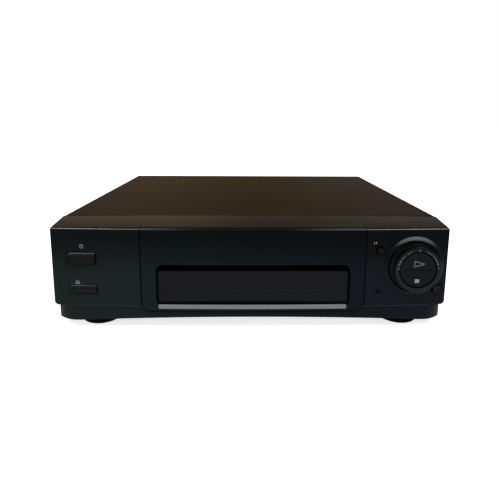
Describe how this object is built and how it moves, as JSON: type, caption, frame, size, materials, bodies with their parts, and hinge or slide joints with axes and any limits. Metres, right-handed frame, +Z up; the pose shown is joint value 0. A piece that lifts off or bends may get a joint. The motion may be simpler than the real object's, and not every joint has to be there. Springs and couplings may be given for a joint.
{
  "type": "video cassette recorder",
  "caption": "Front-loading video cassette recorder with a bowed black front, smoked cassette flap, shuttle ring, push buttons, tape transport, steel cover and round feet.",
  "frame": {"origin": "middle of the bounding box's underside, where the feet stand", "axes": "+X to the right seen from the front, +Y to the back, +Z up"},
  "size_m": [0.43, 0.3696, 0.1195],
  "materials": {
    "abs_black": "fine moulded satin",
    "abs_gloss": "satin gloss",
    "silver_trim": "silver lacquer",
    "smoke": "smoked, polished",
    "cover_paint": "brown-black baked paint",
    "chassis_black": "moulded",
    "rear_plate": "painted sheet",
    "rubber": "moulded",
    "screw_steel": "blackened steel",
    "spring_steel": "drawn wire",
    "zinc_sheet": "zinc-plated sheet",
    "drum_alloy": "turned",
    "board_green": "glass-fibre board with solder mask",
    "board_tan": "phenolic board",
    "acetal": "moulded acetal",
    "iron_core": "varnished laminations",
    "can_blue": "sleeved cans",
    "socket_black": "moulded",
    "lens_red": "clear lens",
    "tube_glass": "dark glass tube",
    "ribbon": "flat cable",
    "brass": "stamped",
    "switch_grey": "moulded"
  },
  "bodies": {
    "root": {"front_fascia": "abs_black", "centre_panel": "abs_gloss", "sill_strip": "silver_trim", "display_window": "smoke", "flap_spring": "spring_steel", "timer_lens": "lens_red", "top_cover": "cover_paint", "cover_screws": "screw_steel", "bottom_chassis": "chassis_black", "rear_panel": "rear_plate", "front_feet": "rubber", "rear_feet": "rubber", "front_board": "board_green", "tact_switches": "switch_grey", "shuttle_encoder": "switch_grey", "knob_carrier": "switch_grey", "display_tube": "tube_glass", "main_board": "board_green", "power_board": "board_tan", "transformer": "iron_core", "heat_sink": "spring_steel", "capacitors": "can_blue", "tuner_can": "zinc_sheet", "scart_sockets": "socket_black", "mains_inlet": "socket_black", "ribbon_cables": "ribbon", "deck_plate": "zinc_sheet", "carriage_bracket_left": "zinc_sheet", "carriage_bracket_right": "zinc_sheet", "drum_base": "drum_alloy", "lower_drum": "drum_alloy", "capstan_motor": "board_green", "erase_head": "zinc_sheet", "audio_head": "zinc_sheet", "loading_motor": "zinc_sheet", "loading_belt": "rubber"},
    "cassette_flap": {"cassette_flap": "smoke"},
    "power_button": {"power_button": "abs_gloss"},
    "eject_button": {"eject_button": "abs_gloss"},
    "pause_button": {"pause_button": "abs_gloss"},
    "record_button": {"record_button": "abs_gloss"},
    "shuttle_ring": {"shuttle_ring": "abs_gloss"},
    "play_stop_disc": {"play_stop_disc": "abs_gloss"},
    "carriage_slider": {"carriage_slider": "zinc_sheet"},
    "cassette_holder": {"cassette_holder": "zinc_sheet"},
    "carriage_pinion": {"carriage_pinion": "acetal"},
    "upper_drum": {"upper_drum": "drum_alloy"},
    "flywheel": {"flywheel": "zinc_sheet"},
    "pinch_arm": {"pinch_arm": "zinc_sheet"},
    "pinch_roller": {"pinch_roller": "rubber"},
    "supply_reel_table": {"supply_reel_table": "acetal"},
    "take_up_reel_table": {"take_up_reel_table": "acetal"},
    "idler_arm": {"idler_arm": "brass"},
    "idler_wheel": {"idler_wheel": "rubber"},
    "left_tape_guide": {"left_tape_guide": "zinc_sheet"},
    "right_tape_guide": {"right_tape_guide": "zinc_sheet"},
    "tension_arm": {"tension_arm": "zinc_sheet"},
    "motor_pulley": {"motor_pulley": "acetal"},
    "cam_gear": {"cam_gear": "acetal"}
  },
  "joints": [
    {"name": "flap_swing", "type": "hinge", "parent": "root", "child": "cassette_flap", "pos_m": [0.0025, -0.16869, 0.07], "axis": [1, 0, 0], "range_deg": [0, 82], "stiffness_Nm_per_rad": 0.006, "springref_deg": -20.05},
    {"name": "power_press", "type": "slide", "parent": "root", "child": "power_button", "axis": [0, 1, 0], "range_m": [0, 0.0012], "stiffness_N_per_m": 400, "springref_m": -0.0008},
    {"name": "eject_press", "type": "slide", "parent": "root", "child": "eject_button", "axis": [0, 1, 0], "range_m": [0, 0.0012], "stiffness_N_per_m": 400, "springref_m": -0.0008},
    {"name": "pause_press", "type": "slide", "parent": "root", "child": "pause_button", "axis": [0, 1, 0], "range_m": [0, 0.0012], "stiffness_N_per_m": 400, "springref_m": -0.0008},
    {"name": "record_press", "type": "slide", "parent": "root", "child": "record_button", "axis": [0, 1, 0], "range_m": [0, 0.0012], "stiffness_N_per_m": 400, "springref_m": -0.0008},
    {"name": "shuttle_turn", "type": "hinge", "parent": "root", "child": "shuttle_ring", "pos_m": [0.1775, -0.17281, 0.072], "axis": [0, 1, 0], "range_deg": [-75, 75], "stiffness_Nm_per_rad": 0.03},
    {"name": "play_stop_rock", "type": "hinge", "parent": "root", "child": "play_stop_disc", "pos_m": [0.1775, -0.17741, 0.072], "axis": [1, 0, 0], "range_deg": [-2.5, 2.5], "stiffness_Nm_per_rad": 1},
    {"name": "carriage_in", "type": "slide", "parent": "root", "child": "carriage_slider", "axis": [0, 1, 0], "range_m": [0, 0.085]},
    {"name": "pinion_turn", "type": "hinge", "parent": "root", "child": "carriage_pinion", "pos_m": [0.1057, -0.03519, 0.067], "axis": [1, 0, 0], "range_deg": [-490, 2]},
    {"name": "holder_down", "type": "slide", "parent": "carriage_slider", "child": "cassette_holder", "axis": [0, 0, -1], "range_m": [0, 0.0155]},
    {"name": "drum_spin", "type": "hinge", "parent": "root", "child": "upper_drum", "pos_m": [0.0025, 0.05281, 0.0252], "axis": [0, -0.0872, 0.9962], "continuous": true},
    {"name": "capstan_spin", "type": "hinge", "parent": "root", "child": "flywheel", "pos_m": [0.0567, 0.02601, 0.0202], "axis": [0, 0, 1], "continuous": true},
    {"name": "pinch_swing", "type": "hinge", "parent": "root", "child": "pinch_arm", "pos_m": [0.0845, 0.02481, 0.0202], "axis": [0, 0, -1], "range_deg": [0, 25], "stiffness_Nm_per_rad": 0.02, "springref_deg": -5.73},
    {"name": "pinch_roller_spin", "type": "hinge", "parent": "pinch_arm", "child": "pinch_roller", "pos_m": [0.0665, 0.00881, 0.0302], "axis": [0, 0, 1], "continuous": true},
    {"name": "supply_reel_spin", "type": "hinge", "parent": "root", "child": "supply_reel_table", "pos_m": [-0.0435, -0.05519, 0.0202], "axis": [0, 0, 1], "continuous": true},
    {"name": "take_up_reel_spin", "type": "hinge", "parent": "root", "child": "take_up_reel_table", "pos_m": [0.0485, -0.05519, 0.0202], "axis": [0, 0, 1], "continuous": true},
    {"name": "idler_swing", "type": "hinge", "parent": "root", "child": "idler_arm", "pos_m": [0.0025, -0.09119, 0.0202], "axis": [0, 0, 1], "range_deg": [-8.5, 8.5]},
    {"name": "idler_wheel_spin", "type": "hinge", "parent": "idler_arm", "child": "idler_wheel", "pos_m": [0.0025, -0.05519, 0.0202], "axis": [0, 0, 1], "continuous": true},
    {"name": "right_guide_slide", "type": "slide", "parent": "root", "child": "right_tape_guide", "axis": [0.4061, 0.9138, 0], "range_m": [0, 0.05899]},
    {"name": "left_guide_slide", "type": "slide", "parent": "root", "child": "left_tape_guide", "axis": [-0.4061, 0.9138, 0], "range_m": [0, 0.05899]},
    {"name": "tension_swing", "type": "hinge", "parent": "root", "child": "tension_arm", "pos_m": [-0.0715, 0.01881, 0.0202], "axis": [0, 0, 1], "range_deg": [-8, 8], "stiffness_Nm_per_rad": 0.01},
    {"name": "cam_turn", "type": "hinge", "parent": "root", "child": "cam_gear", "pos_m": [0.0865, 0.06081, 0.0202], "axis": [0, 0, 1], "continuous": true},
    {"name": "motor_turn", "type": "hinge", "parent": "root", "child": "motor_pulley", "pos_m": [0.0505, 0.08981, 0.0302], "axis": [0, 0, 1], "continuous": true}
  ],
  "couplings": [
    {"joint": "pinion_turn", "follows": "carriage_in", "rad_per_m": -100},
    {"joint": "left_guide_slide", "follows": "right_guide_slide", "ratio": 1},
    {"joint": "motor_turn", "follows": "cam_turn", "ratio": 3}
  ]
}
